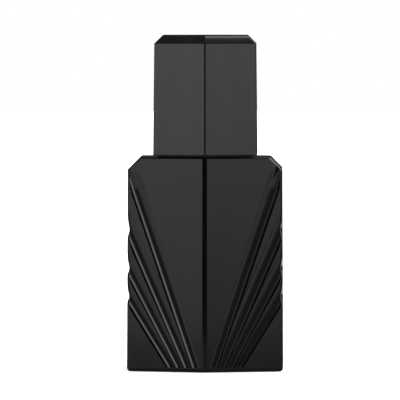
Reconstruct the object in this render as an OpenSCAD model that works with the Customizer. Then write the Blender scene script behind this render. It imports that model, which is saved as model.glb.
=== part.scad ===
// Black glass aftershave bottle with a fluted front, a crimped spray pump and a tall pull-off cap.
// Millimetres. The origin is the middle of the base, +Z is up and the fluted front faces -Y.

/* [Glass body] */
// Width across the side faces at the base
body_w = 66.4; // [64:0.1:70]
// Height from the base to the shoulder
body_h = 91; // [88:0.5:94]
// Depth of each side face
side_depth = 26; // [25:0.5:29]
// How far the front and back ridges stand out beyond the side faces
ridge_rise = 6; // [5:0.5:7]
// Inward lean of the upright faces, in degrees
body_draft = 0.26; // [0:0.01:0.5]
// Size of the sloping cut at each end of the shoulder
corner_cut = 5.1; // [4:0.1:6]
// Size of the bevel around the foot
heel_bevel = 1; // [0.6:0.1:1.5]
// Thickness of the upright glass walls
glass_wall = 3; // [2.8:0.1:3.4]
// Thickness of the glass floor
floor_t = 5; // [4:0.5:6]
// Width of the rim that the bottle stands on
rim_w = 4; // [3:0.5:6]
// Depth of the hollow inside the standing rim
punt_depth = 0.6; // [0.3:0.1:1]

/* [Flutes] */
// Depth of each flute at its step
flute_depth = 0.8; // [0.4:0.1:1]
// Width of the gentle slope above a flute's step
flute_slope_w = 2.8; // [2:0.1:3]
// Width of the steep step itself
flute_step_w = 0.8; // [0.6:0.1:1]
// Height of the plain band below the flutes
plain_band_h = 2.1; // [1.5:0.1:4]
// Distance from the ridge to the foot of the innermost flute
first_foot_x = 4.9; // [4:0.1:6]
// Distance between the feet of neighbouring flutes
foot_pitch = 3.43; // [3:0.01:4]
// Heights at which the four flutes reach the side faces, innermost flute first
flute_end_z = [84, 58.8, 42.6, 30.8]; // [24:0.1:90]
// How far the flutes run back along the side faces from the front corners
side_run = 20; // [8:0.5:21]

/* [Cap] */
// Width across the cap at its lower edge
cap_w = 44.1; // [42:0.1:46]
// Height of the cap
cap_h = 51; // [48:0.5:54]
// Depth of the cap at its side faces
cap_side_depth = 22; // [21:0.5:24]
// How far the cap's ridges stand out beyond its side faces
cap_ridge_rise = 4; // [4:0.5:5]
// Inward lean of the cap's faces, in degrees
cap_draft = 0.62; // [0:0.01:0.8]
// Size of the bevel around the cap's top
cap_bevel = 3.6; // [2.5:0.1:4]
// Gap between the shoulder and the cap
cap_gap = 0.8; // [0.5:0.1:1.2]
// Thickness of the cap's walls
cap_wall = 1.8; // [1.5:0.1:2]

/* [Neck and pump] */
// Outer radius of the crimp bead on the neck
bead_r = 7.5; // [7.4:0.05:7.6]
// Radius of the neck's bore
neck_bore_r = 4.9; // [4.8:0.05:5]
// Height of the neck above the shoulder
neck_h = 7; // [7:0.1:7.5]
// Travel of the spray button
stroke = 4.5; // [3.5:0.1:4.5]
// Outer radius of the collar that dresses the crimp
collar_r = 8.75; // [8.7:0.05:8.8]
// Outer radius of the spray button
button_r = 7.1; // [7:0.05:7.2]
// Outer radius of the dip tube
dip_tube_r = 1.25; // [1:0.05:1.3]
// Radius of the dip tube's curve
dip_tube_bend_r = 171; // [165:1:180]
// Running clearance of sliding and turning fits
fit = 0.05; // [0.03:0.01:0.08]

/* [Hidden] */
$fn = 96;
reach = 400;
over = 1;

// Plan angle between each half of a front or back face and the X axis
body_fold = atan(ridge_rise / (body_w / 2));
cap_fold = atan(cap_ridge_rise / (cap_w / 2));
body_ridge_y = side_depth / 2 + ridge_rise;
cap_ridge_y = cap_side_depth / 2 + cap_ridge_rise;

// Heights of the neck and of the parts stacked on it
neck_top = body_h + neck_h;
neck_r = bead_r - 0.9;
bead_h = 3.6;
bead_base = neck_top - bead_h;
gasket_t = 0.9;
flange_t = 0.8;
flange_r = bead_r - 0.3;
housing_top = neck_top + gasket_t + flange_t;
turret_flange_t = 0.7;
ferrule_seat = housing_top + turret_flange_t;
ferrule_t = 0.5;
ferrule_bore_r = bead_r + 0.1;
ferrule_r = ferrule_bore_r + ferrule_t;
turret_r = 3.95;
turret_top = housing_top + 4.5;
turret_roof_t = 1;
stem_gasket_t = 1;

// Pump chamber
chamber_r = 3.6;
housing_r = 4.5;
stem_r = 1.7;
stem_bore_r = 0.9;
stem_top = neck_top + 16;
stem_foot = neck_top - 1.4;
stem_flange_r = 3;
stem_flange_t = 1;
stem_flange_top = turret_top - turret_roof_t - stem_gasket_t - 0.1;
piston_foot = stem_foot + 0.1;
piston_top = piston_foot + 3.7;
piston_lip_h = 0.8;
poppet_r = 2.6;
poppet_t = 1.2;
poppet_foot = stem_foot - poppet_t;
spring_seat = neck_top - 13;
ball_r = 1.5;
ball_seat_r = 1;
ball_cage_r = 2.3;
ball_seat_z = spring_seat - 6.8;
ball_z = ball_seat_z - ball_seat_r + ball_r * sqrt(2) + 0.04;
ball_lip_r = 1.25;
ball_lip_z = spring_seat - 3;
ball_lip_t = 0.6;
tube_socket_top = ball_seat_z - 2.2;
housing_foot = tube_socket_top - 8;
dip_tube_bore_r = 0.75;
dip_tube_top = tube_socket_top - 0.2;
dip_tube_bend_z = housing_foot + 2;
dip_tube_foot = floor_t + 2;

// Spray button
collar_foot = body_h + 0.3;
collar_t = 0.6;
collar_top = neck_top + 9;
collar_mouth_r = button_r + 0.5;
shell_t = 0.5;
shell_foot = collar_top - 1.2;
shell_top = shell_foot + 15.2;
button_foot = shell_foot + 0.2;
button_top = shell_top - 0.7;
button_core_foot = turret_top + stroke + 0.3;
nozzle_z = stem_top + 1.6;
nozzle_r = 1.92;
nozzle_seat_y = 4.2;
spray_channel_r = 0.6;

// Cap
cap_foot = body_h + cap_gap;
cap_top = cap_foot + cap_h;
cap_roof_t = 2;
liner_foot = body_h + 0.2;
liner_flange_t = 2.6;
liner_grip_r = collar_r + fit;
liner_ledge_z = collar_top + fit;
liner_ledge_r = collar_r - 0.45;
liner_r = liner_grip_r + 1.6;
liner_top = shell_top + 8;
liner_roof_t = 1.4;
liner_rib_t = 1.2;
liner_rib_h = 18;
liner_edge_gap = 0.1;

// A solid bounded by planes. Each plane is [plan angle, distance from the axis, height at that
// distance, upward tilt of its outward normal], and keeps everything on its inner side.
module bounded_by(planes) {
    intersection_for (p = planes)
        rotate([0, 0, p[0]])
            translate([p[1], 0, p[2]])
                rotate([0, -p[3], 0])
                    translate([-reach, -reach / 2, -reach / 2])
                        cube(reach);
}

// The six upright faces of a block that is folded along its front and back ridges
function upright_faces(w, ridge_y, fold, draft, inset, z) = [
    for (turn = [0, 180]) each [
        [turn, w / 2 - inset, z, draft],
        [turn + 90 - fold, ridge_y * cos(fold) - inset, z, draft],
        [turn + 90 + fold, ridge_y * cos(fold) - inset, z, draft]
    ]
];

// The same six faces tilted to a bevel that starts at height z, drawn in by inset
function bevel_faces(w, ridge_y, fold, inset, z, tilt) =
    upright_faces(w, ridge_y, fold, tilt, inset, z);

function drawn_in(draft, height) = height * tan(draft);

// Top and bottom planes
function lid_plane(z) = [0, 0, z, 90];
function foot_plane(z) = [0, 0, z, -90];

function body_planes(inset, foot, top, cut) = concat(
    upright_faces(body_w, body_ridge_y, body_fold, body_draft, inset, 0),
    [
        for (turn = [0, 180])
            [turn, body_w / 2 - inset - drawn_in(body_draft, top - cut), top - cut, 45]
    ],
    [foot_plane(foot), lid_plane(top)]
);

// Distance of a flute's foot from the ridge, and the flute's lean from upright
function foot_x(i) = first_foot_x + i * foot_pitch;
function flute_lean(i) =
    atan((body_w / 2 - foot_x(i)) / cos(body_fold) / (flute_end_z[i] - plain_band_h));

// One flute of the right half of the front face: a steep step below and a gentle slope above
module face_flute(i) {
    lean = flute_lean(i);
    translate([0, -body_ridge_y, 0])
        rotate([0, 0, body_fold])
            translate([foot_x(i) / cos(body_fold), 0, plain_band_h])
                rotate([0, lean, 0])
                    translate([0, 0, -2 * over])
                        linear_extrude(height = (flute_end_z[i] + 6) / cos(lean))
                            flute_section(flute_slope_w, flute_step_w);
}

// Section of a flute, with its depth along +Y and its gentle slope towards -X
module flute_section(slope_w, step_w) {
    polygon([
        [-slope_w, 0],
        [-slope_w, -over],
        [step_w, -over],
        [step_w, 0],
        [0, flute_depth]
    ]);
}

// The same flute where it wraps round the corner and runs back along the side face
module side_flute(i) {
    spread = 1 / sin(flute_lean(i));
    translate([
        body_w / 2 - drawn_in(body_draft, flute_end_z[i]),
        -side_depth / 2 - ridge_rise,
        flute_end_z[i]
    ])
        rotate([-90, 0, 0])
            linear_extrude(height = ridge_rise + side_run)
                rotate([0, 0, 90])
                    flute_section(flute_slope_w * spread, flute_step_w * spread);
}

module flutes() {
    intersection() {
        for (side = [0, 1])
            mirror([side, 0, 0]) {
                for (i = [0:len(flute_end_z) - 1]) face_flute(i);
                for (i = [1:len(flute_end_z) - 1]) side_flute(i);
            }
        translate([-reach / 2, -reach / 2, plain_band_h]) cube(reach);
    }
}

module glass_bottle() {
    color("#17151b")
        difference() {
            union() {
                difference() {
                    bounded_by(concat(
                        body_planes(0, 0, body_h, corner_cut),
                        bevel_faces(body_w, body_ridge_y, body_fold, heel_bevel, 0, -45)
                    ));
                    flutes();
                }
                neck();
            }
            cavity();
            punt();
        }
}

module neck() {
    bead_bevel = 0.8;
    rotate_extrude()
        polygon([
            [0, body_h - over],
            [neck_r, body_h - over],
            [neck_r, bead_base],
            [bead_r, bead_base + bead_r - neck_r],
            [bead_r, neck_top - bead_bevel],
            [bead_r - bead_bevel, neck_top],
            [0, neck_top]
        ]);
}

module cavity() {
    roof_t = 3.5;
    inner_bevel = 3;
    bounded_by(concat(
        body_planes(glass_wall, floor_t, body_h - roof_t, corner_cut),
        bevel_faces(body_w, body_ridge_y, body_fold, glass_wall + inner_bevel, floor_t, -45)
    ));
    translate([0, 0, body_h / 2]) cylinder(r = neck_bore_r, h = body_h);
}

module punt() {
    bounded_by(concat(
        upright_faces(body_w, body_ridge_y, body_fold, 0, rim_w, 0),
        [foot_plane(-over), lid_plane(punt_depth)]
    ));
}

// A plain ring about the Z axis
module ring(outer_r, inner_r, foot, top) {
    translate([0, 0, foot])
        difference() {
            cylinder(r = outer_r, h = top - foot);
            translate([0, 0, -over]) cylinder(r = inner_r, h = top - foot + 2 * over);
        }
}

module neck_gasket() {
    color("#e8e8e4") ring(flange_r, housing_r + 0.4, neck_top, neck_top + gasket_t);
}

// Thin metal cup crimped inwards under the glass bead
module crimp_ferrule() {
    lip_r = neck_r + 0.15;
    lip_t = 0.7;
    slope = bead_base - neck_r - 0.15;
    color("#c9cbce")
        rotate_extrude()
            polygon([
                [turret_r + 0.1, ferrule_seat],
                [ferrule_bore_r, ferrule_seat],
                [ferrule_bore_r, ferrule_bore_r + slope],
                [lip_r, lip_r + slope],
                [lip_r, lip_r + slope - lip_t],
                [ferrule_r, ferrule_r + slope - lip_t],
                [ferrule_r, ferrule_seat + ferrule_t],
                [turret_r + 0.1, ferrule_seat + ferrule_t]
            ]);
}

module collar_sleeve() {
    edge = 0.3;
    color("#37383c")
        rotate_extrude()
            polygon([
                [collar_r - collar_t, collar_foot],
                [collar_r, collar_foot],
                [collar_r, collar_top - edge],
                [collar_r - edge, collar_top],
                [collar_mouth_r, collar_top],
                [collar_mouth_r, collar_top - collar_t],
                [collar_r - collar_t, collar_top - collar_t]
            ]);
}

module turret() {
    color("#f0f0ec")
        difference() {
            union() {
                translate([0, 0, housing_top]) cylinder(r = flange_r, h = turret_flange_t);
                translate([0, 0, housing_top]) cylinder(r = turret_r, h = turret_top - housing_top);
            }
            translate([0, 0, housing_top - over])
                cylinder(r = chamber_r, h = turret_top - turret_roof_t - housing_top + over);
            translate([0, 0, turret_top - turret_roof_t - over])
                cylinder(r = stem_r + fit, h = turret_roof_t + 2 * over);
        }
}

module stem_gasket() {
    roof = turret_top - turret_roof_t;
    color("#2b2b2d") ring(chamber_r - 0.02, stem_r + fit, roof - stem_gasket_t, roof);
}

module pump_housing() {
    color("#eceeec")
        difference() {
            housing_outside();
            housing_inside();
        }
}

module housing_outside() {
    valve_r = 3.4;
    spigot_r = 2.6;
    rotate_extrude()
        polygon([
            [0, housing_foot],
            [spigot_r - 0.4, housing_foot],
            [spigot_r, housing_foot + 0.4],
            [spigot_r, tube_socket_top],
            [valve_r, tube_socket_top + valve_r - spigot_r],
            [valve_r, spring_seat - 2],
            [housing_r, spring_seat - 2 + housing_r - valve_r],
            [housing_r, housing_top - flange_t],
            [flange_r, housing_top - flange_t],
            [flange_r, housing_top],
            [0, housing_top]
        ]);
}

// From the top: piston chamber, spring seat, ball cage, ball seat, and socket for the dip tube
module housing_inside() {
    rotate_extrude()
        polygon([
            [0, housing_foot - over],
            [dip_tube_r + 0.02, housing_foot - over],
            [dip_tube_r + 0.02, tube_socket_top],
            [ball_seat_r, tube_socket_top],
            [ball_seat_r, ball_seat_z],
            [ball_cage_r, ball_seat_z + ball_cage_r - ball_seat_r],
            [ball_cage_r, ball_lip_z],
            [ball_lip_r, ball_lip_z],
            [ball_lip_r, ball_lip_z + ball_lip_t],
            [ball_cage_r, ball_lip_z + ball_lip_t],
            [ball_cage_r, spring_seat],
            [chamber_r, spring_seat],
            [chamber_r, housing_top + over],
            [0, housing_top + over]
        ]);
}

// The dip tube's path: a point and lean at a distance below its top. It is straight in its
// socket, then curves towards a lower corner of the bottle.
function tube_point(s) =
    let (
        straight = dip_tube_top - dip_tube_bend_z,
        lean = max(0, s - straight) / dip_tube_bend_r * 180 / PI
    )
    [
        dip_tube_bend_r * (1 - cos(lean)),
        dip_tube_top - min(s, straight) - dip_tube_bend_r * sin(lean),
        lean
    ];

// Points of a ring of radius r square to the path
function tube_ring(r, s, sides) =
    let (p = tube_point(s))
    [
        for (k = [0:sides - 1])
            let (side = r * cos(360 * k / sides), across = r * sin(360 * k / sides))
            [p[0] + side * cos(p[2]), across, p[1] + side * sin(p[2])]
    ];

module dip_tube() {
    sides = 16;
    steps = 12;
    sweep = asin((dip_tube_bend_z - dip_tube_foot) / dip_tube_bend_r);
    straight = dip_tube_top - dip_tube_bend_z;
    curved = dip_tube_bend_r * sweep * PI / 180;
    stations = concat([0], [for (i = [0:steps]) straight + curved * i / steps]);
    count = len(stations) * sides;
    outer = [for (s = stations) each tube_ring(dip_tube_r, s, sides)];
    inner = [for (s = stations) each tube_ring(dip_tube_bore_r, s, sides)];
    walls = [
        for (i = [0:len(stations) - 2], k = [0:sides - 1])
            let (a = i * sides + k, b = i * sides + (k + 1) % sides)
            each [
                [a, a + sides, b + sides, b],
                [count + a, count + b, count + b + sides, count + a + sides]
            ]
    ];
    ends = [
        for (k = [0:sides - 1])
            let (a = k, b = (k + 1) % sides, last = count - sides)
            each [
                [a, b, count + b, count + a],
                [last + a, count + last + a, count + last + b, last + b]
            ]
    ];
    color("#dfe3e4")
        polyhedron(points = concat(outer, inner), faces = concat(walls, ends), convexity = 4);
}

module inlet_ball() {
    color("#d5d7da") translate([0, 0, ball_z]) sphere(r = ball_r);
}

// Points of one ring of a coil's wire, at a fraction along the coil
function coil_ring(fraction, turns, coil_r, wire_r, foot, top, sides) = [
    for (k = [0:sides - 1])
        let (
            turn = 360 * turns * fraction,
            around = 360 * k / sides,
            out = coil_r + wire_r * cos(around),
            rise = foot + wire_r + (top - foot - 2 * wire_r) * coil_rise(fraction, turns)
        )
        [out * cos(turn), out * sin(turn), rise + wire_r * sin(around)]
];

// Closed end turns: the coil climbs only between its first and last turn
function coil_rise(fraction, turns) =
    let (dead = 0.8 / turns)
    min(1, max(0, (fraction - dead) / (1 - 2 * dead)));

module coil_spring(turns, coil_r, wire_r, foot, top) {
    sides = 6;
    steps = 18 * turns;
    rings = [
        for (s = [0:steps]) each coil_ring(s / steps, turns, coil_r, wire_r, foot, top, sides)
    ];
    walls = [
        for (s = [0:steps - 1], k = [0:sides - 1])
            [
                s * sides + k,
                s * sides + (k + 1) % sides,
                (s + 1) * sides + (k + 1) % sides,
                (s + 1) * sides + k
            ]
    ];
    first_end = [for (k = [sides - 1:-1:0]) k];
    last_end = [for (k = [0:sides - 1]) steps * sides + k];
    polyhedron(points = rings, faces = concat(walls, [first_end, last_end]), convexity = 10);
}

module return_spring() {
    color("#a9acb0") coil_spring(7, 2.75, 0.25, spring_seat + 0.05, poppet_foot - 0.05);
}

module stem() {
    port_z = stem_foot + 1;
    port_r = 0.35;
    color("#f0f0ec")
        difference() {
            union() {
                translate([0, 0, stem_foot]) cylinder(r = stem_r, h = stem_top - stem_foot);
                translate([0, 0, stem_flange_top - stem_flange_t])
                    cylinder(r = stem_flange_r, h = stem_flange_t);
            }
            translate([0, 0, stem_foot - over])
                cylinder(r = stem_bore_r, h = stem_top - stem_foot + 2 * over);
            translate([-2 * stem_r, 0, port_z])
                rotate([0, 90, 0])
                    cylinder(r = port_r, h = 4 * stem_r);
        }
}

// Valve head that closes the foot of the piston, with the rod that guides the return spring
module valve_poppet() {
    rod_r = 1.4;
    rod_h = 6.9;
    plug_h = 0.5;
    color("#e4e6e4")
        rotate_extrude()
            polygon([
                [0, poppet_foot - rod_h],
                [rod_r - 0.3, poppet_foot - rod_h],
                [rod_r, poppet_foot - rod_h + 0.3],
                [rod_r, poppet_foot],
                [poppet_r, poppet_foot],
                [poppet_r, stem_foot],
                [stem_bore_r - 0.02, stem_foot],
                [stem_bore_r - 0.02, stem_foot + plug_h],
                [0, stem_foot + plug_h]
            ]);
}

// Two sealing lips, a relief over the valve head, and a cup for the upper spring
module piston() {
    lip_r = chamber_r - fit;
    waist_r = chamber_r - 0.4;
    relief_r = 2.2;
    relief_h = 1.5;
    bore_h = 0.7;
    cup_r = 2.9;
    color("#f6f6f2")
        rotate_extrude()
            polygon([
                [relief_r, piston_foot],
                [lip_r, piston_foot],
                [lip_r, piston_foot + piston_lip_h],
                [waist_r, piston_foot + piston_lip_h],
                [waist_r, piston_top - piston_lip_h],
                [lip_r, piston_top - piston_lip_h],
                [lip_r, piston_top],
                [cup_r, piston_top],
                [cup_r, piston_foot + relief_h + bore_h],
                [stem_r + fit, piston_foot + relief_h + bore_h],
                [stem_r + fit, piston_foot + relief_h],
                [relief_r, piston_foot + relief_h]
            ]);
}

module precompression_spring() {
    cup_floor = piston_foot + 2.2;
    color("#a9acb0")
        coil_spring(4, 2.35, 0.18, cup_floor + 0.05, stem_flange_top - stem_flange_t - 0.05);
}

module actuator_button() {
    skirt_t = 0.85;
    inner_r = button_r - shell_t - 0.05;
    color("#1b1b1d")
        difference() {
            translate([0, 0, button_foot]) cylinder(r = inner_r, h = button_top - button_foot);
            translate([0, 0, button_foot - over])
                cylinder(r = inner_r - skirt_t, h = button_core_foot - button_foot + over);
            translate([0, 0, button_foot])
                cylinder(r = stem_r + fit, h = stem_top + 0.2 - button_foot);
            translate([0, 0, button_foot]) cylinder(r = spray_channel_r, h = nozzle_z - button_foot);
            spray_path(spray_channel_r, 0, button_r);
            difference() {
                spray_path(nozzle_r + 0.02, nozzle_seat_y, button_r);
                spray_path(0.9, nozzle_seat_y - over, nozzle_seat_y + 1.4);
            }
        }
}

// A round path towards the front at the height of the nozzle
module spray_path(r, from_y, to_y) {
    translate([0, -from_y, nozzle_z])
        rotate([90, 0, 0])
            cylinder(r = r, h = to_y - from_y);
}

module actuator_shell() {
    dish_r = 45;
    dish_depth = 0.35;
    color("#37383c")
        difference() {
            translate([0, 0, shell_foot]) cylinder(r = button_r, h = shell_top - shell_foot);
            translate([0, 0, shell_foot - over])
                cylinder(r = button_r - shell_t, h = button_top + 0.05 - shell_foot + over);
            translate([0, 0, shell_top + dish_r - dish_depth]) sphere(r = dish_r);
            spray_path(nozzle_r + 0.15, nozzle_seat_y, button_r + over);
        }
}

module nozzle_insert() {
    pocket_r = 1.1;
    face_t = 0.6;
    orifice_r = 0.2;
    front_y = button_r - 0.1;
    color("#111113")
        difference() {
            spray_path(nozzle_r, nozzle_seat_y + 0.1, front_y);
            spray_path(pocket_r, nozzle_seat_y - over, front_y - face_t);
            spray_path(orifice_r, nozzle_seat_y, front_y + over);
        }
}

function cap_faces(inset) = upright_faces(cap_w, cap_ridge_y, cap_fold, cap_draft, inset, cap_foot);

// The cap's solid form, its walls drawn in by side_inset and its top lowered by roof_inset
module cap_form(side_inset, roof_inset, foot) {
    top = cap_top - roof_inset;
    bevel_foot = top - cap_bevel;
    shrink = side_inset + drawn_in(cap_draft, bevel_foot - cap_foot);
    bounded_by(concat(
        cap_faces(side_inset),
        bevel_faces(cap_w, cap_ridge_y, cap_fold, shrink, bevel_foot, 45),
        [foot_plane(foot), lid_plane(top)]
    ));
}

module overcap_shell() {
    color("#3c3c3e")
        difference() {
            cap_form(0, 0, cap_foot);
            cap_form(cap_wall, cap_roof_t, cap_foot - over);
        }
}

// Inner cap: a sleeve that grips the collar, on a flange that closes the shell's mouth
module overcap_liner() {
    color("#232325")
        difference() {
            union() {
                translate([0, 0, liner_foot]) cylinder(r = liner_r, h = liner_top - liner_foot);
                intersection() {
                    union() {
                        translate([-reach / 2, -reach / 2, liner_foot])
                            cube([reach, reach, liner_flange_t]);
                        liner_ribs();
                    }
                    cap_form(cap_wall + liner_edge_gap, cap_roof_t, liner_foot);
                }
            }
            translate([0, 0, liner_foot - over])
                cylinder(r = liner_grip_r, h = liner_ledge_z - liner_foot + over);
            translate([0, 0, liner_foot])
                cylinder(r = liner_ledge_r, h = liner_top - liner_roof_t - liner_foot);
        }
}

module liner_ribs() {
    for (turn = [0, 90])
        rotate([0, 0, turn])
            translate([-reach / 2, -liner_rib_t / 2, liner_foot])
                cube([reach, liner_rib_t, liner_rib_h]);
}

glass_bottle();
neck_gasket();
crimp_ferrule();
collar_sleeve();
turret();
stem_gasket();
pump_housing();
dip_tube();
inlet_ball();
return_spring();
stem();
valve_poppet();
piston();
precompression_spring();
actuator_button();
actuator_shell();
nozzle_insert();
overcap_liner();
overcap_shell();
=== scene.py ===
from math import atan, cos, degrees, pi, radians, sin, tan

import bmesh
import bpy
from mathutils import Matrix, Vector


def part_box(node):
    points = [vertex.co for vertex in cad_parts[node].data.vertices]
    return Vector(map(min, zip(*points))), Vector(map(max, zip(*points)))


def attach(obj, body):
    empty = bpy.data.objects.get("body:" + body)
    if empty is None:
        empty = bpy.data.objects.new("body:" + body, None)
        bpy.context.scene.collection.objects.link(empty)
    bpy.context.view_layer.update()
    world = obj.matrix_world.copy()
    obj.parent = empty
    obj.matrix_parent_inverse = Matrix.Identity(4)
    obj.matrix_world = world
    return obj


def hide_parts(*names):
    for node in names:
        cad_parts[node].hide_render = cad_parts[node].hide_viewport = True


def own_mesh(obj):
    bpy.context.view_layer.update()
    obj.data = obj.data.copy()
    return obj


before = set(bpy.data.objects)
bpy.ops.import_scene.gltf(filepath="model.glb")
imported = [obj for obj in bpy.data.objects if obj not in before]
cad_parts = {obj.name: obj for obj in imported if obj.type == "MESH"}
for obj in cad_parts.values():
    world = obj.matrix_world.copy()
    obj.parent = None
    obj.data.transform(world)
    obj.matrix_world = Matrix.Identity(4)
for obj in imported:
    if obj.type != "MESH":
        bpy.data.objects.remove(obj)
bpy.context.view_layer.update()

# All shapes below are made in millimetres in the frame of the CAD model, and scaled to metres last.
MM = 0.001


def box_mm(node):
    """Lowest and highest corner of a CAD node in millimetres."""
    low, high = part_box(node)
    return low / MM, high / MM


# ---------------------------------------------------------------- driving sizes

GLASS_HIGH = box_mm("glass_bottle")[1]
CAP_LOW, CAP_HIGH = box_mm("overcap_shell")

# Glass body
BODY_HALF_W = GLASS_HIGH.x
BODY_RIDGE_Y = GLASS_HIGH.y
NECK_TOP = GLASS_HIGH.z
NECK_H = 7.0
BODY_H = NECK_TOP - NECK_H
BODY_DRAFT = 0.26
RIDGE_RISE = 6.0
BODY_FOLD = degrees(atan(RIDGE_RISE / BODY_HALF_W))
CORNER_CUT = 5.1
CUT_ANGLE = 45
GLASS_WALL = 3.0
GLASS_ROOF = 3.5
FLOOR_T = 5.0
RIM_W = 4.0
PUNT_DEPTH = 0.55
INNER_BEVEL = 3.0
BORE_R = 4.9
BEAD_R = 7.5
NECK_R = 6.6
BEAD_H = 3.6

# Radii of the body's moulded edges
RIDGE_R = 7.0
CORNER_R = 1.3
SHOULDER_R = 0.55
CUT_R = 1.0
HEEL_R = 1.7

# Flutes: where each starts at the plain band, and where it reaches the side face
PLAIN_BAND_H = 2.1
FIRST_FOOT_X = 4.9
FOOT_PITCH = 3.43
FLUTE_END_Z = (84.0, 58.8, 42.6, 30.8)
SIDE_RUN = 20.0

# Section of a flute: a rounded crest, a wall, a rounded bottom and a long slope back to the face
FLUTE_DEPTH = 0.9
CREST_R = 1.8
WALL_ANGLE = 41.0
BOTTOM_R = 0.32
SLOPE_ANGLE = 23.0
# Distance from the crest to the bright wall, which is what the flute's line below marks
WALL_OFFSET = 1.3

# Cap
CAP_HALF_W = CAP_HIGH.x
CAP_RIDGE_Y = CAP_HIGH.y
CAP_FOOT = CAP_LOW.z
CAP_TOP = CAP_HIGH.z
CAP_DRAFT = 0.62
CAP_RIDGE_RISE = 4.0
CAP_FOLD = degrees(atan(CAP_RIDGE_RISE / CAP_HALF_W))
CAP_BEVEL = 3.6
CAP_BEVEL_ANGLE = 45
CAP_WALL = 1.8
CAP_ROOF = 2.0
CAP_RIDGE_R = 2.6
CAP_TOP_R = 4.0


# ---------------------------------------------------------------- mesh tools

def new_object(name, bm):
    """Turns a bmesh into an object in the scene."""
    bmesh.ops.recalc_face_normals(bm, faces=bm.faces)
    mesh = bpy.data.meshes.new(name)
    bm.to_mesh(mesh)
    bm.free()
    obj = bpy.data.objects.new(name, mesh)
    bpy.context.scene.collection.objects.link(obj)
    return obj


def bake_modifiers(obj):
    """Replaces an object's mesh with the result of its modifiers."""
    graph = bpy.context.evaluated_depsgraph_get()
    baked = bpy.data.meshes.new_from_object(obj.evaluated_get(graph))
    obj.modifiers.clear()
    obj.data = baked
    return obj


def combine(obj, other, operation):
    """Cuts other out of obj, or joins it on, and removes other."""
    step = obj.modifiers.new(operation, "BOOLEAN")
    step.solver = "EXACT"
    step.operation = operation
    step.object = other
    bake_modifiers(obj)
    bpy.data.objects.remove(other)
    return obj


def plane_at(turn, distance, height, tilt):
    """A point and an outward normal: plan angle, distance from the axis at a height, upward tilt."""
    out = Vector((cos(radians(turn)), sin(radians(turn)), 0))
    normal = out * cos(radians(tilt)) + Vector((0, 0, sin(radians(tilt))))
    return out * distance + Vector((0, 0, height)), normal


def upright_planes(half_w, ridge_y, fold, draft, inset, z):
    """The six upright faces of a block that is folded along its front and back ridges."""
    ridge = ridge_y * cos(radians(fold)) - inset
    planes = []
    for turn in (0, 180):
        planes.append(("side", plane_at(turn, half_w - inset, z, draft)))
        planes.append(("front", plane_at(turn + 90 - fold, ridge, z, draft)))
        planes.append(("front", plane_at(turn + 90 + fold, ridge, z, draft)))
    return planes


def flat_planes(foot, top):
    up = Vector((0, 0, 1))
    return [("foot", (up * foot, -up)), ("top", (up * top, up))]


def solid_from(planes):
    """The convex solid inside named planes. Each face remembers which plane made it."""
    blank_size, same_place = 600, 0.002
    bm = bmesh.new()
    bmesh.ops.create_cube(bm, size=blank_size)
    kind = bm.faces.layers.int.new("kind")
    names = sorted({name for name, _ in planes})
    for name, (point, normal) in planes:
        geometry = bm.verts[:] + bm.edges[:] + bm.faces[:]
        cut = bmesh.ops.bisect_plane(
            bm, geom=geometry, dist=same_place, plane_co=point, plane_no=normal, clear_outer=True
        )
        edges = [g for g in cut["geom_cut"] if isinstance(g, bmesh.types.BMEdge)]
        lid = bmesh.ops.contextual_create(bm, geom=edges)["faces"]
        for face in lid:
            face[kind] = names.index(name)
    return bm, kind, names


def rounded_solid(name, planes, edge_radii, segments):
    """A convex solid whose edges are rounded. edge_radii maps a pair of plane names to a radius."""
    bm, kind, names = solid_from(planes)
    bmesh.ops.recalc_face_normals(bm, faces=bm.faces)
    weight = bm.edges.layers.float.new("bevel_weight_edge")
    offsets = {}
    for edge in bm.edges:
        a, b = edge.link_faces
        pair = frozenset((names[a[kind]], names[b[kind]]))
        radius = edge_radii.get(pair, 0)
        offsets[edge] = radius * tan(edge.calc_face_angle() / 2)
    widest = max(offsets.values())
    for edge, offset in offsets.items():
        edge[weight] = offset / widest
    obj = new_object(name, bm)
    bevel = obj.modifiers.new("edges", "BEVEL")
    bevel.limit_method = "WEIGHT"
    bevel.offset_type = "OFFSET"
    bevel.width = widest
    bevel.segments = segments
    bevel.profile = 0.5
    return bake_modifiers(obj)


def pair(a, b):
    return frozenset((a, b))


def lathe(name, outline, steps=96):
    """A solid of revolution about Z. The outline is a closed list of (radius, height)."""
    bm = bmesh.new()
    rings = []
    for radius, height in outline:
        if radius < 1e-6:
            rings.append([bm.verts.new((0, 0, height))] * steps)
            continue
        rings.append([
            bm.verts.new((radius * cos(2 * pi * k / steps), radius * sin(2 * pi * k / steps), height))
            for k in range(steps)
        ])
    for here, following in zip(rings, rings[1:] + rings[:1]):
        for k in range(steps):
            corners = [here[k], here[(k + 1) % steps], following[(k + 1) % steps], following[k]]
            corners = list(dict.fromkeys(corners))
            if len(corners) > 2:
                bm.faces.new(corners)
    return new_object(name, bm)


def rounded_outline(points, steps=5):
    """A closed outline whose corners are rounded. Each point is (radius, height, corner radius)."""
    outline = []
    count = len(points)
    # A rounding takes at most this share of the side next to it
    most = 0.48
    for i, (x, z, r) in enumerate(points):
        here = Vector((x, z))
        before = Vector(points[i - 1][:2]) - here
        after = Vector(points[(i + 1) % count][:2]) - here
        if r <= 0 or before.length < 1e-6 or after.length < 1e-6:
            outline.append((x, z))
            continue
        turn = pi - before.angle(after)
        offset = min(r * tan(turn / 2), most * before.length, most * after.length)
        start = here + before.normalized() * offset
        end = here + after.normalized() * offset
        for k in range(steps + 1):
            t = k / steps
            outline.append(tuple(start.lerp(here, t).lerp(here.lerp(end, t), t)))
    return outline


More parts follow.
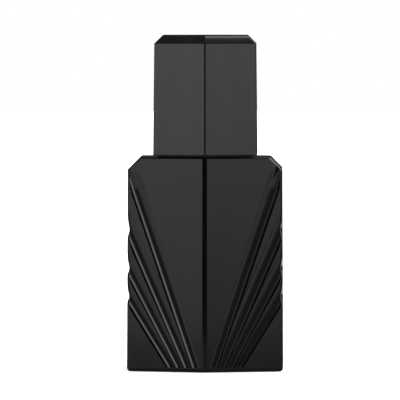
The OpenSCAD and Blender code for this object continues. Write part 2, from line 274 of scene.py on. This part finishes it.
def finish_mesh(obj, material, sharp=35):
    """Scales a shape to metres, smooths its shading up to a sharp angle and gives it its material."""
    obj.data.transform(Matrix.Scale(MM, 4))
    obj.data.materials.clear()
    obj.data.materials.append(material)
    obj.data.polygons.foreach_set("use_smooth", [True] * len(obj.data.polygons))
    obj.data.set_sharp_from_angle(angle=radians(sharp))
    weighted = obj.modifiers.new("weighted_normals", "WEIGHTED_NORMAL")
    weighted.keep_sharp = True
    weighted.weight = 60
    return obj


# ---------------------------------------------------------------- glass bottle

def body_planes(inset, foot, top):
    planes = upright_planes(BODY_HALF_W, BODY_RIDGE_Y, BODY_FOLD, BODY_DRAFT, inset, 0)
    cut_foot = top - CORNER_CUT
    cut_x = BODY_HALF_W - inset - cut_foot * tan(radians(BODY_DRAFT))
    for turn in (0, 180):
        planes.append(("cut", plane_at(turn, cut_x, cut_foot, CUT_ANGLE)))
    return planes + flat_planes(foot, top)


def body_block():
    radii = {
        pair("front", "front"): RIDGE_R,
        pair("front", "side"): CORNER_R,
        pair("front", "cut"): CORNER_R,
        pair("side", "cut"): CUT_R,
        pair("cut", "top"): CUT_R,
        pair("front", "top"): SHOULDER_R,
        pair("front", "foot"): HEEL_R,
        pair("side", "foot"): HEEL_R,
    }
    return rounded_solid("glass_body", body_planes(0, 0, BODY_H), radii, segments=8)


def body_cavity():
    planes = body_planes(GLASS_WALL, FLOOR_T, BODY_H - GLASS_ROOF)
    radii = {
        pair("front", "foot"): INNER_BEVEL,
        pair("side", "foot"): INNER_BEVEL,
        pair("front", "side"): INNER_BEVEL / 2,
        pair("front", "front"): RIDGE_R / 2,
    }
    return rounded_solid("cavity", planes, radii, segments=4)


def body_punt():
    planes = upright_planes(BODY_HALF_W, BODY_RIDGE_Y, BODY_FOLD, 0, RIM_W, 0)
    planes += flat_planes(-1, PUNT_DEPTH)
    radii = {pair("front", "top"): 0.4, pair("side", "top"): 0.4, pair("front", "side"): 1.0}
    return rounded_solid("punt", planes, radii, segments=3)


def glass_neck():
    """The neck with its crimp bead and a small fillet where it leaves the shoulder."""
    fillet = 0.6
    points = [
        (0, BODY_H - 1, 0),
        (NECK_R + fillet, BODY_H - 1, 0),
        (NECK_R + fillet, BODY_H - 0.05, 0),
        (NECK_R, BODY_H + fillet, fillet),
        (NECK_R, NECK_TOP - BEAD_H, 0.4),
        (BEAD_R, NECK_TOP - BEAD_H + BEAD_R - NECK_R, 0.5),
        (BEAD_R, NECK_TOP, 0.8),
        (0, NECK_TOP, 0),
    ]
    return lathe("neck", rounded_outline(points))


def glass_bore():
    lip = 0.5
    points = [
        (0, BODY_H / 2, 0),
        (BORE_R, BODY_H / 2, 0),
        (BORE_R, NECK_TOP - lip, 0.6),
        (BORE_R + lip + 1, NECK_TOP + 1, 0),
        (0, NECK_TOP + 1, 0),
    ]
    return lathe("bore", rounded_outline(points))


def corner_point(distance, z, height):
    """A point on the front right corner of the body, height above the surface. distance is measured
    along the faces from the corner: positive on the front face, negative on the side face."""
    lean = tan(radians(BODY_DRAFT))
    fold = radians(BODY_FOLD)
    turn = pi / 2 - fold
    corner_x = BODY_HALF_W - lean * z
    corner_y = -BODY_RIDGE_Y + corner_x * tan(fold) + lean * z / cos(fold)
    tangent = CORNER_R * tan(turn / 2)
    if distance >= tangent:
        x, y = corner_x - distance * cos(fold), corner_y - distance * sin(fold)
        bearing = -turn
    elif distance <= -tangent:
        x, y = corner_x, corner_y - distance
        bearing = 0
    else:
        bearing = -turn * (distance + tangent) / (2 * tangent)
        centre_x = corner_x - CORNER_R
        centre_y = corner_y - tangent * sin(fold) + CORNER_R * cos(fold)
        x = centre_x + CORNER_R * cos(bearing)
        y = centre_y + CORNER_R * sin(bearing)
    normal = Vector((cos(bearing), sin(bearing), lean)).normalized()
    return Vector((x, y, z)) + normal * height


def flute_section(slope_scale):
    """Points (offset, height) across a flute. The offset grows from its crest towards the ridge."""
    wall, slope = radians(WALL_ANGLE), radians(SLOPE_ANGLE)
    # It runs on past the crest and past the slope, a little above the surface
    run_in, run_in_height, run_out, run_out_height = 0.35, 0.03, 0.4, 0.035
    crest_steps, bottom_steps, slope_steps = 6, 7, 10
    points = [(-run_in, run_in_height)]
    for k in range(crest_steps + 1):
        a = wall * k / crest_steps
        points.append((CREST_R * sin(a), -CREST_R * (1 - cos(a))))
    deep = FLUTE_DEPTH - BOTTOM_R * (1 - cos(wall))
    drop = deep + points[-1][1]
    offset = points[-1][0] + drop / tan(wall)
    bottom_x = offset + BOTTOM_R * sin(wall)
    for k in range(bottom_steps + 1):
        a = wall - (wall + slope) * k / bottom_steps
        points.append((bottom_x - BOTTOM_R * sin(a), -FLUTE_DEPTH + BOTTOM_R * (1 - cos(a))))
    start, rest = points[-1]
    length = -2 * rest / tan(slope)
    for k in range(1, slope_steps + 1):
        t = k / slope_steps
        points.append((start + slope_scale * length * t, rest * (1 - t) ** 2))
    points.append((points[-1][0] + run_out, run_out_height))
    return [(offset - WALL_OFFSET, height) for offset, height in points]


def smooth_step(t):
    t = min(1.0, max(0.0, t))
    return t * t * (3 - 2 * t)


def flute_lean(i):
    """A flute's lean from upright, and the distance from the corner to its foot."""
    foot = (BODY_HALF_W - FIRST_FOOT_X - i * FOOT_PITCH) / cos(radians(BODY_FOLD))
    return atan(foot / (FLUTE_END_Z[i] - PLAIN_BAND_H)), foot


def flute_stations(length, goes_round):
    """Where a flute's sections stand: how far up its line, and how far back from the corner."""
    below_band = [-6.5, -4.0, -2.0]
    steps, least_step = 44, 0.3
    # They are set closer together just before the corner and round it
    bend, bend_steps = 2.2, 8
    round_corner, round_steps = 1.2, 6
    side_end, side_steps = SIDE_RUN - 0.2, 16
    near = [length - bend + bend * k / bend_steps for k in range(bend_steps + 1)]
    front = below_band + [length * k / steps for k in range(steps - 2)]
    front = [along for along in front if along < near[0] - least_step] + near
    stations = [(along, 0) for along in front]
    if goes_round:
        stations += [(length, round_corner * k / round_steps) for k in range(1, round_steps + 1)]
        stations += [(length, round_corner + side_end * k / side_steps) for k in range(1, side_steps + 1)]
    return stations


def flute_cutter(i):
    """The solid that cuts one flute: along the front face, round the corner and back on the side."""
    lean, foot = flute_lean(i)
    length = foot / sin(lean)
    # How far it takes to run out: on the side face, and at the outermost flute's end below the shoulder
    side_fade, end_gap, end_fade = 7.0, 0.8, 3.0
    # Height of the faded section above the surface, so that it cuts nothing
    lift = 0.12
    # The slope is narrow where the flutes stand close together, and on the side face
    narrow, full_at, widening, side_narrowing, side_narrow_at = 0.5, 14.0, 0.75, 0.4, 4.0
    # Length over which the section turns from square across the flute to upright at the corner
    turning = 6.0
    rings = []
    for along, back in flute_stations(length, i > 0):
        if i == 0:
            level = smooth_step((length - end_gap - along) / end_fade)
            opening = narrow + widening * along / length
        else:
            level = smooth_step((SIDE_RUN + 1 - back) / side_fade)
            opening = narrow + (1 - narrow) * smooth_step(along / full_at)
        opening -= side_narrowing * smooth_step(back / side_narrow_at)
        skew = smooth_step(1 - (length - along) / turning) / tan(lean)
        ring = []
        for offset, height in flute_section(opening):
            shift = offset * skew
            distance = foot - sin(lean) * (along + shift) + cos(lean) * offset
            z = PLAIN_BAND_H + cos(lean) * (along + shift) + sin(lean) * offset
            if back > 0:
                distance = -back
                z = FLUTE_END_Z[i] + offset / sin(lean)
            ring.append((distance, z, height * level + lift * (1 - level) ** 3))
        rings.append(ring)
    return swept_cutter(rings)


def swept_cutter(rings):
    """A closed solid from rings of surface points, closed above the surface, and its mirror image."""
    ceiling = 1.3
    bm = bmesh.new()
    loops = []
    for ring in rings:
        points = [corner_point(*p) for p in ring]
        points.append(corner_point(ring[-1][0], ring[-1][1], ceiling))
        points.append(corner_point(ring[0][0], ring[0][1], ceiling))
        loops.append([bm.verts.new(p) for p in points])
    for here, following in zip(loops, loops[1:]):
        for k in range(len(here)):
            n = (k + 1) % len(here)
            bm.faces.new((here[k], here[n], following[n], following[k]))
    bm.faces.new(loops[0])
    bm.faces.new(loops[-1])
    foot = Vector((0, 0, PLAIN_BAND_H))
    half = bm.verts[:] + bm.edges[:] + bm.faces[:]
    cut = bmesh.ops.bisect_plane(bm, geom=half, plane_co=foot, plane_no=(0, 0, -1), clear_outer=True)
    rim = [g for g in cut["geom_cut"] if isinstance(g, bmesh.types.BMEdge)]
    bmesh.ops.edgeloop_fill(bm, edges=rim)
    half = bm.verts[:] + bm.edges[:] + bm.faces[:]
    copy = bmesh.ops.duplicate(bm, geom=half)["geom"]
    turned = [v for v in copy if isinstance(v, bmesh.types.BMVert)]
    bmesh.ops.scale(bm, vec=(-1, 1, 1), verts=turned)
    return new_object("flute_cutter", bm)


def make_glass_bottle():
    bottle = body_block()
    for i in range(len(FLUTE_END_Z)):
        combine(bottle, flute_cutter(i), "DIFFERENCE")
    combine(bottle, glass_neck(), "UNION")
    combine(bottle, body_cavity(), "DIFFERENCE")
    combine(bottle, glass_bore(), "DIFFERENCE")
    combine(bottle, body_punt(), "DIFFERENCE")
    bottle.name = "moulded_glass"
    finish_mesh(bottle, black_glass(), sharp=38)
    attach(bottle, "bottle")
    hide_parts("glass_bottle")


# ---------------------------------------------------------------- cap

def cap_planes(side_inset, roof_inset, foot):
    top = CAP_TOP - roof_inset
    bevel_foot = top - CAP_BEVEL
    shrink = side_inset + (bevel_foot - CAP_FOOT) * tan(radians(CAP_DRAFT))
    sides = upright_planes(CAP_HALF_W, CAP_RIDGE_Y, CAP_FOLD, CAP_DRAFT, side_inset, CAP_FOOT)
    bevels = upright_planes(CAP_HALF_W, CAP_RIDGE_Y, CAP_FOLD, CAP_BEVEL_ANGLE, shrink, bevel_foot)
    bevels = [(name + "_bevel", plane) for name, plane in bevels]
    return sides + bevels + flat_planes(foot, top)


def make_cap_shell():
    corner, edge, top_edge, foot_edge = 0.4, 0.35, 0.5, 0.25
    radii = {
        pair("front", "front"): CAP_RIDGE_R,
        pair("front", "side"): corner,
        pair("front_bevel", "front_bevel"): CAP_RIDGE_R,
        pair("front_bevel", "side_bevel"): top_edge,
        pair("front", "front_bevel"): edge,
        pair("side", "side_bevel"): edge,
        pair("front_bevel", "top"): CAP_TOP_R,
        pair("side_bevel", "top"): top_edge,
        pair("front", "foot"): foot_edge,
        pair("side", "foot"): foot_edge,
    }
    shell = rounded_solid("cap_block", cap_planes(0, 0, CAP_FOOT), radii, segments=6)
    inner_radii = {pair("front", "side"): 0.6, pair("front", "front"): 0.8}
    inside = rounded_solid("cap_inside", cap_planes(CAP_WALL, CAP_ROOF, CAP_FOOT - 1), inner_radii, 4)
    combine(shell, inside, "DIFFERENCE")
    shell.name = "moulded_cap_shell"
    finish_mesh(shell, cap_plastic(), sharp=32)
    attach(shell, "cap")
    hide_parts("overcap_shell")


# ---------------------------------------------------------------- springs

def coil_mesh(turns, coil_r, wire_r, foot, top):
    """A wire wound into a spring with closed end turns."""
    sides, steps = 10, 30 * turns
    dead = 0.8 / turns
    bm = bmesh.new()
    rings = []
    for step in range(steps + 1):
        fraction = step / steps
        climb = min(1.0, max(0.0, (fraction - dead) / (1 - 2 * dead)))
        turn = 2 * pi * turns * fraction
        rise = foot + wire_r + (top - foot - 2 * wire_r) * climb
        ring = []
        for k in range(sides):
            around = 2 * pi * k / sides
            out = coil_r + wire_r * cos(around)
            ring.append(bm.verts.new((out * cos(turn), out * sin(turn), rise + wire_r * sin(around))))
        rings.append(ring)
    for here, following in zip(rings, rings[1:]):
        for k in range(sides):
            n = (k + 1) % sides
            bm.faces.new((here[k], here[n], following[n], following[k]))
    bm.faces.new(rings[0])
    bm.faces.new(rings[-1])
    return bm


def make_spring(name, node, body, turns, wire_r, steel):
    """A wound spring that takes the place of a CAD spring node, attached to a body."""
    low, high = box_mm(node)
    spring = new_object(name, coil_mesh(turns, high.x - wire_r, wire_r, low.z, high.z))
    finish_mesh(spring, steel)
    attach(spring, body)
    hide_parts(node)
    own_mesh(spring)


# ---------------------------------------------------------------- materials

def new_material(name, **sockets):
    """A material whose shader has constant values, and its node tree."""
    material = bpy.data.materials.new(name)
    material.use_nodes = True
    tree = material.node_tree
    shader = tree.nodes["Principled BSDF"]
    for socket, value in sockets.items():
        shader.inputs[socket.replace("_", " ")].default_value = value
    return material, tree, shader


def noise(tree, scale, detail=3, stretch=(1, 1, 1)):
    """Noise in the object's own space, in features per metre, stretched along an axis."""
    place = tree.nodes.new("ShaderNodeTexCoord")
    mapping = tree.nodes.new("ShaderNodeMapping")
    mapping.inputs["Scale"].default_value = stretch
    texture = tree.nodes.new("ShaderNodeTexNoise")
    texture.inputs["Scale"].default_value = scale
    texture.inputs["Detail"].default_value = detail
    tree.links.new(place.outputs["Object"], mapping.inputs["Vector"])
    tree.links.new(mapping.outputs["Vector"], texture.inputs["Vector"])
    return texture.outputs["Fac"]


# Nearly all noise values lie between these two
NOISE_LOW, NOISE_HIGH = 0.3, 0.7


def vary(tree, source, target, low, high):
    """Drives a number socket from noise, between two values."""
    spread = tree.nodes.new("ShaderNodeMapRange")
    spread.inputs["From Min"].default_value = NOISE_LOW
    spread.inputs["From Max"].default_value = NOISE_HIGH
    spread.inputs["To Min"].default_value = low
    spread.inputs["To Max"].default_value = high
    tree.links.new(source, spread.inputs["Value"])
    tree.links.new(spread.outputs["Result"], target)


def tint(tree, source, target, dark, light):
    """Drives a colour socket from noise, between two colours."""
    ramp = tree.nodes.new("ShaderNodeValToRGB")
    ramp.color_ramp.elements[0].position = NOISE_LOW
    ramp.color_ramp.elements[0].color = (*dark, 1)
    ramp.color_ramp.elements[1].position = NOISE_HIGH
    ramp.color_ramp.elements[1].color = (*light, 1)
    tree.links.new(source, ramp.inputs["Fac"])
    tree.links.new(ramp.outputs["Color"], target)


def relief(tree, source, shader, distance, chain=None):
    """Bump from noise. distance is the relief in metres."""
    bump = tree.nodes.new("ShaderNodeBump")
    bump.inputs["Distance"].default_value = distance
    bump.inputs["Strength"].default_value = 1.0
    tree.links.new(source, bump.inputs["Height"])
    if chain is not None:
        tree.links.new(chain, bump.inputs["Normal"])
    tree.links.new(bump.outputs["Normal"], shader.inputs["Normal"])
    return bump.outputs["Normal"]


def black_glass():
    """Near-black glass with a faint violet cast and the slight waviness of a mould."""
    material, tree, shader = new_material("black_glass", Roughness=0.04, IOR=1.52)
    dark, light = (0.0006, 0.0004, 0.0011), (0.0011, 0.0008, 0.0019)
    tint(tree, noise(tree, 30), shader.inputs["Base Color"], dark, light)
    vary(tree, noise(tree, 120, 5), shader.inputs["Roughness"], 0.02, 0.05)
    relief(tree, noise(tree, 55, 1), shader, 0.000015)
    return material


def cap_plastic():
    """Charcoal moulded plastic with a soft gloss, fine grain and faint upright flow marks."""
    material, tree, shader = new_material("cap_plastic", Roughness=0.08, IOR=1.53)
    dark, light = (0.004, 0.004, 0.0041), (0.0065, 0.0065, 0.0066)
    tint(tree, noise(tree, 160, 4, (1, 1, 0.12)), shader.inputs["Base Color"], dark, light)
    vary(tree, noise(tree, 260, 4, (1, 1, 0.2)), shader.inputs["Roughness"], 0.06, 0.1)
    soft = relief(tree, noise(tree, 45, 1), shader, 0.00001)
    relief(tree, noise(tree, 2600, 2), shader, 0.0000012, chain=soft)
    return material


def plain_plastic(name, dark, light, roughness):
    """Moulded plastic with a slight mottle and fine grain."""
    material, tree, shader = new_material(name, Roughness=roughness, IOR=1.5)
    tint(tree, noise(tree, 220, 3), shader.inputs["Base Color"], dark, light)
    vary(tree, noise(tree, 500, 4), shader.inputs["Roughness"], roughness * 0.85, roughness * 1.2)
    relief(tree, noise(tree, 2400, 2), shader, 0.000002)
    return material


def brushed_metal(name, dark, light, roughness):
    """Spun metal with fine lines round its axis."""
    material, tree, shader = new_material(name, Roughness=roughness, Metallic=1.0)
    lines = noise(tree, 900, 3, (0.15, 0.15, 6))
    tint(tree, lines, shader.inputs["Base Color"], dark, light)
    vary(tree, noise(tree, 300, 4), shader.inputs["Roughness"], roughness * 0.85, roughness * 1.25)
    relief(tree, lines, shader, 0.000002)
    return material


def clear_plastic(name, colour, transmission):
    """Milky see-through plastic."""
    material, tree, shader = new_material(
        name, Roughness=0.3, IOR=1.49, Transmission_Weight=transmission
    )
    tint(tree, noise(tree, 200, 3), shader.inputs["Base Color"], tuple(c * 0.92 for c in colour), colour)
    vary(tree, noise(tree, 600, 3), shader.inputs["Roughness"], 0.22, 0.36)
    return material


def rubber(name):
    material, tree, shader = new_material(name, Roughness=0.6, IOR=1.5)
    dark, light = (0.012, 0.012, 0.013), (0.025, 0.025, 0.027)
    tint(tree, noise(tree, 800, 4), shader.inputs["Base Color"], dark, light)
    relief(tree, noise(tree, 3000, 3), shader, 0.000005)
    return material


def round_edges(node, radius):
    """Breaks the sharp edges of a CAD node with a small rounding."""
    bevel = node.modifiers.new("edges", "BEVEL")
    bevel.limit_method = "ANGLE"
    bevel.angle_limit = radians(35)
    bevel.width = radius * MM
    bevel.segments = 3
    weighted = node.modifiers.new("weighted_normals", "WEIGHTED_NORMAL")
    weighted.keep_sharp = False


def dress_cad_nodes():
    """Better materials and rounded edges for the CAD nodes whose shape is right as it is."""
    pump_white = plain_plastic("pump_plastic", (0.66, 0.66, 0.64), (0.76, 0.76, 0.74), 0.38)
    liner = plain_plastic("liner_plastic", (0.012, 0.012, 0.013), (0.02, 0.02, 0.021), 0.42)
    button = plain_plastic("button_plastic", (0.008, 0.008, 0.009), (0.014, 0.014, 0.015), 0.3)
    seal = plain_plastic("seal_plastic", (0.7, 0.7, 0.68), (0.78, 0.78, 0.76), 0.5)
    collar = brushed_metal("collar_metal", (0.045, 0.045, 0.05), (0.07, 0.07, 0.075), 0.3)
    ferrule = brushed_metal("ferrule_metal", (0.6, 0.6, 0.61), (0.74, 0.74, 0.75), 0.3)
    ball = brushed_metal("ball_steel", (0.6, 0.61, 0.62), (0.72, 0.72, 0.74), 0.12)
    tube = clear_plastic("tube_plastic", (0.86, 0.9, 0.92), 0.7)
    looks = {
        "neck_gasket": seal,
        "crimp_ferrule": ferrule,
        "collar_sleeve": collar,
        "turret": pump_white,
        "stem_gasket": rubber("seal_rubber"),
        "pump_housing": pump_white,
        "dip_tube": tube,
        "inlet_ball": ball,
        "stem": pump_white,
        "valve_poppet": pump_white,
        "piston": seal,
        "actuator_button": button,
        "actuator_shell": collar,
        "nozzle_insert": button,
        "overcap_liner": liner,
    }
    for name, material in looks.items():
        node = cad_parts[name]
        node.data.materials.clear()
        node.data.materials.append(material)
    for name, radius in (
        ("collar_sleeve", 0.15),
        ("actuator_shell", 0.12),
        ("actuator_button", 0.15),
        ("nozzle_insert", 0.08),
        ("overcap_liner", 0.15),
    ):
        round_edges(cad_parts[name], radius)


# ---------------------------------------------------------------- stage, light and camera

def make_floor():
    """A plain pale floor. It is left out of mirror reflections, so that the glass stays dark."""
    bm = bmesh.new()
    bmesh.ops.create_circle(bm, cap_ends=True, radius=4000, segments=96)
    floor = new_object("floor", bm)
    material, tree, shader = new_material("floor_white", Roughness=0.9, Specular_IOR_Level=0.0)
    tint(tree, noise(tree, 3), shader.inputs["Base Color"], (0.9, 0.9, 0.9), (0.92, 0.92, 0.92))
    finish_mesh(floor, material)
    floor.visible_glossy = False


def math_node(tree, operation, *values):
    node = tree.nodes.new("ShaderNodeMath")
    node.operation = operation
    for k, value in enumerate(values):
        if isinstance(value, (int, float)):
            node.inputs[k].default_value = value
        else:
            tree.links.new(value, node.inputs[k])
    return node.outputs[0]


def falloff(tree, distance, reach, soft):
    """1 up to reach, then smoothly down to 0 over soft."""
    node = tree.nodes.new("ShaderNodeMapRange")
    node.interpolation_type = "SMOOTHSTEP"
    node.inputs["From Min"].default_value = reach
    node.inputs["From Max"].default_value = reach + soft
    node.inputs["To Min"].default_value = 1
    node.inputs["To Max"].default_value = 0
    tree.links.new(distance, node.inputs["Value"])
    return node.outputs["Result"]


def ramp_up(tree, value, start, end, low, high):
    node = tree.nodes.new("ShaderNodeMapRange")
    node.inputs["From Min"].default_value = start
    node.inputs["From Max"].default_value = end
    node.inputs["To Min"].default_value = low
    node.inputs["To Max"].default_value = high
    tree.links.new(value, node.inputs["Value"])
    return node.outputs["Result"]


# Brightness of the dark room and of the unlit floor, and the elevations between which one becomes
# the other
ROOM_GLOOM = 0.045
GROUND_GLOW = 0.19
HORIZON = (-4.8, -4.2)
# Upright cards at the front: bearing, half width, width of the soft edge, brightness below and above
CARDS = ((-31, 13, 5, 0.8, 1.8), (25, 9, 4, 0.55, 1.6))
CARD_HEIGHT = (-1, 6, 3)
# Soft boxes round the object: bearing from the front towards the right, elevation, half width and
# half height, width of the soft edge, all in degrees, and brightness
SOFT_BOXES = (
    (98, 34, 54, 24, 8, 2.9),
    (-108, 34, 50, 22, 8, 0.62),
    (142, 68, 34, 12, 4, 2.2),
    (95, -1, 50, 5, 6, 0.5),
    (-95, -1, 47, 5, 6, 0.75),
)
# Light that the floor throws up in front of the bottle and behind it, in the same measures
FLOOR_PATCHES = (
    (-22, -10, 14, 8, 12, 0.46),
    (-38, -10, 8, 5, 12, 0.78),
    (20, -10, 10, 8, 10, 0.35),
    (35, -9, 7, 4, 11, 0.42),
    (-34, -7, 7, 3, 4, 0.95),
    (33, -7, 5, 3, 4, 0.8),
    (158, -16, 16, 12, 8, 0.8),
    (-160, -16, 14, 12, 8, 0.42),
)


def studio_world():
    """White for the camera, and a studio of soft boxes and dark gaps for light and reflections."""
    world = bpy.data.worlds.new("studio")
    bpy.context.scene.world = world
    world.use_nodes = True
    tree = world.node_tree
    tree.nodes.clear()
    place = tree.nodes.new("ShaderNodeTexCoord")
    split = tree.nodes.new("ShaderNodeSeparateXYZ")
    tree.links.new(place.outputs["Generated"], split.inputs[0])
    x, y, z = split.outputs
    bearing = math_node(tree, "DEGREES", math_node(tree, "ARCTAN2", x, math_node(tree, "MULTIPLY", y, -1)))
    elevation = math_node(tree, "DEGREES", math_node(tree, "ARCSINE", z))

    def off(centre):
        turned = math_node(tree, "SUBTRACT", bearing, centre)
        return math_node(tree, "ABSOLUTE", math_node(tree, "WRAP", turned, 180, -180))

    def height_off(centre):
        return math_node(tree, "ABSOLUTE", math_node(tree, "SUBTRACT", elevation, centre))

    def card(centre, half_w, soft, low, high):
        """An upright card at the front, brighter towards its top."""
        across = falloff(tree, off(centre), half_w, soft)
        level = ramp_up(tree, elevation, -4.5, 2.0, low, high)
        return math_node(tree, "MULTIPLY", across, level)

    def with_patches(light, patches):
        """The brightest of the light so far and each soft-edged patch."""
        for centre, height, half_w, half_h, soft, strength in patches:
            across = falloff(tree, off(centre), half_w, soft)
            upright = falloff(tree, height_off(height), half_h, soft)
            patch = math_node(tree, "MULTIPLY", math_node(tree, "MULTIPLY", across, upright), strength)
            light = math_node(tree, "MAXIMUM", light, patch)
        return light

    card_elevation, card_half_h, card_soft = CARD_HEIGHT
    cards = math_node(tree, "MAXIMUM", card(*CARDS[0]), card(*CARDS[1]))
    upright = falloff(tree, height_off(card_elevation), card_half_h, card_soft)
    cards = math_node(tree, "MULTIPLY", cards, upright)
    above = with_patches(math_node(tree, "MAXIMUM", cards, ROOM_GLOOM), SOFT_BOXES)
    ground = with_patches(GROUND_GLOW, FLOOR_PATCHES)
    below = ramp_up(tree, elevation, *HORIZON, 1, 0)
    change = math_node(tree, "MULTIPLY", math_node(tree, "SUBTRACT", ground, above), below)
    light = math_node(tree, "ADD", above, change)

    reflected = tree.nodes.new("ShaderNodeBackground")
    tree.links.new(light, reflected.inputs["Strength"])
    seen = tree.nodes.new("ShaderNodeBackground")
    seen.inputs["Color"].default_value = (1, 1, 1, 1)
    path = tree.nodes.new("ShaderNodeLightPath")
    mix = tree.nodes.new("ShaderNodeMixShader")
    tree.links.new(path.outputs["Is Camera Ray"], mix.inputs[0])
    tree.links.new(reflected.outputs[0], mix.inputs[1])
    tree.links.new(seen.outputs[0], mix.inputs[2])
    out = tree.nodes.new("ShaderNodeOutputWorld")
    tree.links.new(mix.outputs[0], out.inputs["Surface"])


def floor_light():
    """A wide soft light from above, which lights the floor and isn't mirrored in the bottle."""
    lamp = bpy.data.lights.new("overhead", "SUN")
    lamp.angle = radians(120)
    lamp.energy = 5.0
    overhead = bpy.data.objects.new("overhead", lamp)
    overhead.location = (0, 0, 2)
    overhead.visible_glossy = False
    bpy.context.scene.collection.objects.link(overhead)


def make_camera():
    """A long lens, a little to the right of the front and a little above the bottle's middle."""
    distance, yaw, rise, frame_w = 1.65, radians(1.5), radians(2.9), 0.1708
    aim = Vector((-0.0024, 0, 0.07232))
    back = Vector((sin(yaw) * cos(rise), -cos(yaw) * cos(rise), sin(rise)))
    data = bpy.data.cameras.new("camera")
    data.sensor_width = 36
    data.lens = data.sensor_width * distance / frame_w
    camera = bpy.data.objects.new("camera", data)
    camera.location = aim + back * distance
    camera.rotation_mode = "QUATERNION"
    camera.rotation_quaternion = (-back).to_track_quat("-Z", "Y")
    data.clip_start, data.clip_end = 0.05, 50
    bpy.context.scene.collection.objects.link(camera)
    bpy.context.scene.camera = camera


make_glass_bottle()
make_cap_shell()
spring_steel = brushed_metal("spring_steel", (0.42, 0.42, 0.44), (0.56, 0.56, 0.58), 0.28)
make_spring("wound_return_spring", "return_spring", "bottle", 7, 0.25, spring_steel)
make_spring(
    "wound_upper_spring", "precompression_spring", "piston", 4, 0.18, spring_steel
)
dress_cad_nodes()
make_floor()
studio_world()
floor_light()
make_camera()
bpy.context.scene.view_settings.view_transform = "Standard"
